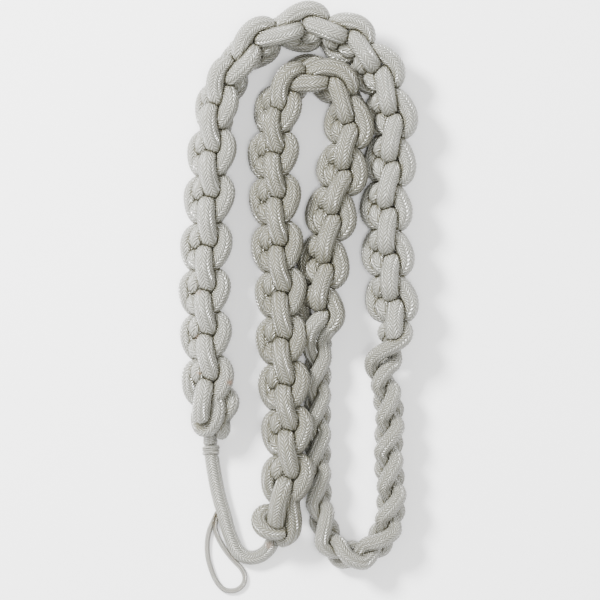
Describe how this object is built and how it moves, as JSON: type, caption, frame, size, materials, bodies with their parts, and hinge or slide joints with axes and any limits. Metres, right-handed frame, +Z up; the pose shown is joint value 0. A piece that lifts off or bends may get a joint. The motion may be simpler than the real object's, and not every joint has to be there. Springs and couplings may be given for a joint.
{
  "type": "aiguillette",
  "caption": "White knotted shoulder cord laid flat in a folded loop, with a plaited length to go under the arm, a served joining cord and a flat button loop.",
  "frame": {"origin": "under the middle of the laid cord, on the surface it lies on", "axes": "+X across the folded loop, from the button loop's side to the plait's side; +Y along the loop, away from the button loop; +Z up from the surface"},
  "size_m": [0.0782, 0.1964, 0.0197],
  "materials": {
    "knotted_cord": "silky herringbone braid, lightly soiled in the folds",
    "plaited_cord": "silky herringbone braid",
    "served_cord": "wound thread, soiled",
    "loop_braid": "flat narrow braid, soiled"
  },
  "bodies": {
    "root": {"outer_chain_first_strand": "knotted_cord", "outer_chain_second_strand": "knotted_cord", "inner_chain_first_strand": "knotted_cord", "inner_chain_second_strand": "knotted_cord", "underarm_plait_strand_1": "plaited_cord", "underarm_plait_strand_2": "plaited_cord", "underarm_plait_strand_3": "plaited_cord", "outer_end_hook": "knotted_cord", "outer_end_tuck": "knotted_cord", "inner_end_turn": "knotted_cord", "inner_end_band": "knotted_cord", "joining_cord": "served_cord", "neck_binding": "served_cord", "button_loop": "loop_braid"}
  },
  "joints": []
}
